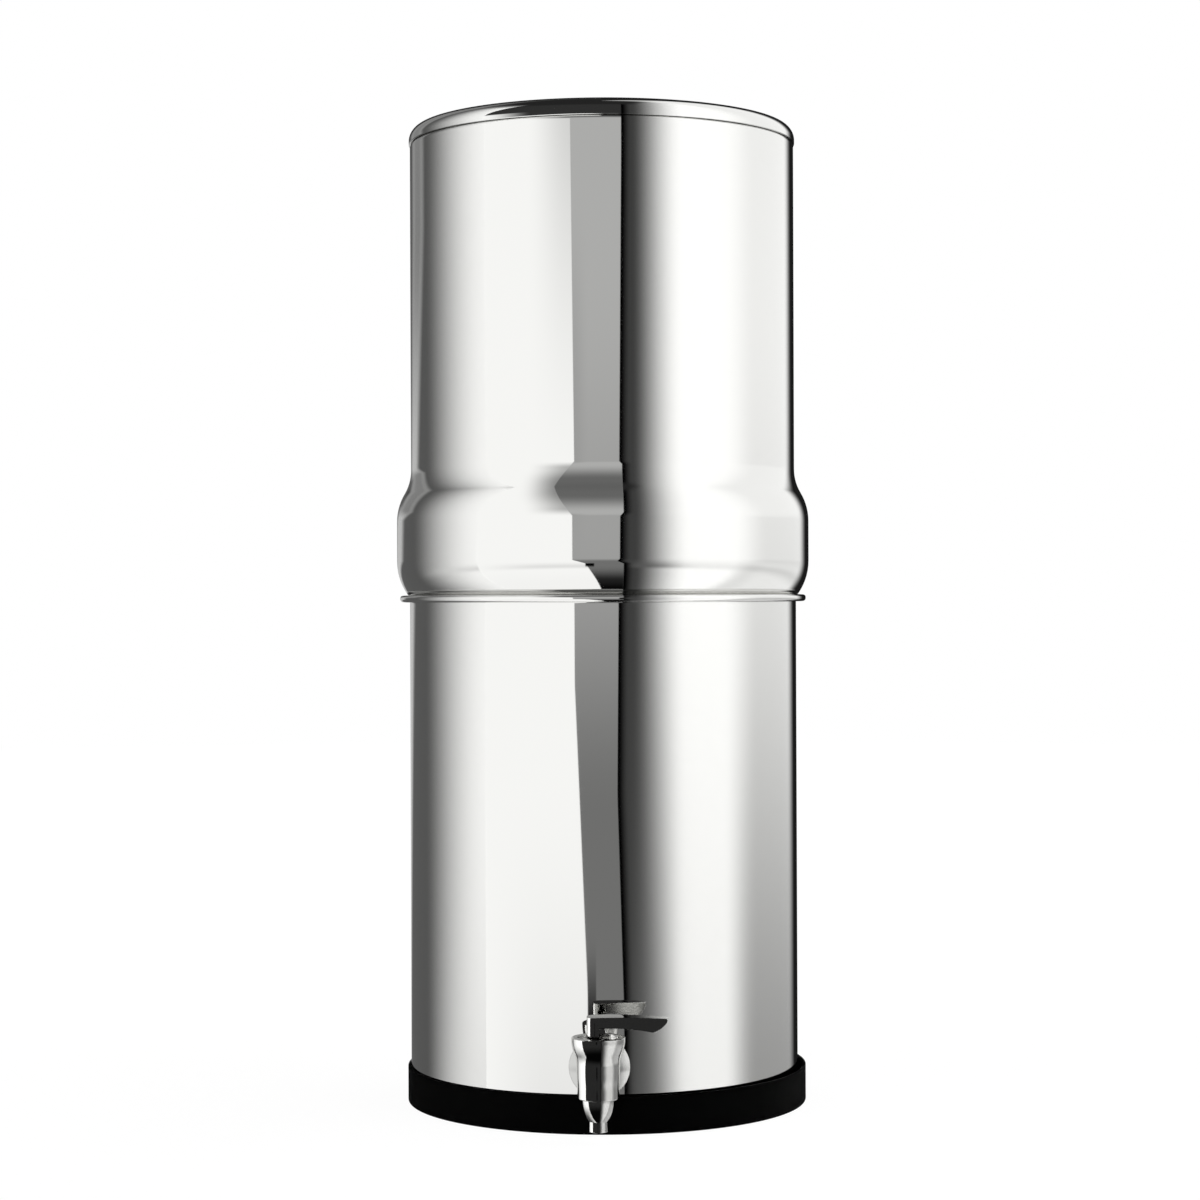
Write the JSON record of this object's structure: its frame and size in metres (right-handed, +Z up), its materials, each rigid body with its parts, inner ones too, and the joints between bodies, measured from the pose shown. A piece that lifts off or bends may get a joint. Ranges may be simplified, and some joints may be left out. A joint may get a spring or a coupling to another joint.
{
  "type": "gravity water purifier",
  "caption": "Gravity water purifier: stacked polished steel chambers with a bulged joint, shallow domed lid, rubber base ring and a lever tap low in front.",
  "frame": {"origin": "on the axis of the chambers, at the level of the surface that the base ring stands on", "axes": "+Z up; the tap stands out of the lower chamber along -Y; at rest its lever points along +X"},
  "size_m": [0.2398, 0.2734, 0.5683],
  "materials": {
    "tank_steel": "mirror-polished stainless steel",
    "lid_steel": "mirror-polished stainless steel",
    "tap_steel": "mirror-polished",
    "ring_rubber": "matte black",
    "washer_silicone": "translucent white",
    "cup_silicone": "soft, white",
    "seal_rubber": "matte black",
    "spring_steel": "drawn wire",
    "nut_steel": "turned",
    "filter_carbon": "pressed carbon, matte",
    "filter_plastic": "moulded, satin",
    "plug_plastic": "moulded, satin white",
    "slip_plastic": "smooth, white"
  },
  "bodies": {
    "lower_tank": {"base_ring": "ring_rubber", "lower_chamber": "tank_steel", "tap_body": "tap_steel", "tap_bonnet": "tap_steel", "tap_gland_seal": "seal_rubber", "tap_outlet": "tap_steel", "tap_wall_flange": "tap_steel", "tap_outer_washer": "washer_silicone", "tap_inner_washer": "washer_silicone", "tap_nut": "nut_steel"},
    "upper_tank": {"upper_chamber": "tank_steel", "filter_block_left": "filter_carbon", "filter_top_cap_left": "filter_plastic", "filter_base_left": "filter_plastic", "filter_washer_left": "seal_rubber", "wing_nut_left": "plug_plastic", "filter_block_right": "filter_carbon", "filter_top_cap_right": "filter_plastic", "filter_base_right": "filter_plastic", "filter_washer_right": "seal_rubber", "wing_nut_right": "plug_plastic", "blocking_plug_front": "plug_plastic", "plug_washer_front": "seal_rubber", "plug_nut_front": "plug_plastic", "blocking_plug_back": "plug_plastic", "plug_washer_back": "seal_rubber", "plug_nut_back": "plug_plastic"},
    "lid": {"lid": "lid_steel"},
    "tap_swivel": {"tap_slip_washer": "slip_plastic", "tap_spring": "spring_steel"},
    "tap_stem": {"tap_stem": "tap_steel", "tap_spring_seat": "nut_steel", "tap_seat_cup": "cup_silicone"},
    "tap_lever": {"tap_lever": "tap_steel", "lever_pin": "tap_steel"}
  },
  "joints": [
    {"name": "upper_lift", "type": "slide", "parent": "lower_tank", "child": "upper_tank", "axis": [0, 0, 1], "range_m": [0, 0.12]},
    {"name": "lid_lift", "type": "slide", "parent": "upper_tank", "child": "lid", "axis": [0, 0, 1], "range_m": [0, 0.06]},
    {"name": "lever_swivel", "type": "hinge", "parent": "lower_tank", "child": "tap_swivel", "pos_m": [0, -0.139, 0.05], "axis": [0, 0, 1], "range_deg": [-224.5, 44.5]},
    {"name": "stem_lift", "type": "slide", "parent": "tap_swivel", "child": "tap_stem", "axis": [0, 0, 1], "range_m": [0, 0.00182], "deforming": ["tap_spring"]},
    {"name": "lever_tilt", "type": "hinge", "parent": "tap_stem", "child": "tap_lever", "pos_m": [0, -0.139, 0.0645], "axis": [0, -1, 0], "range_deg": [0, 40], "stiffness_Nm_per_rad": 0.0135, "springref_deg": -65.89}
  ],
  "couplings": [
    {"joint": "stem_lift", "follows": "lever_tilt", "m_per_rad": 0.0026}
  ]
}
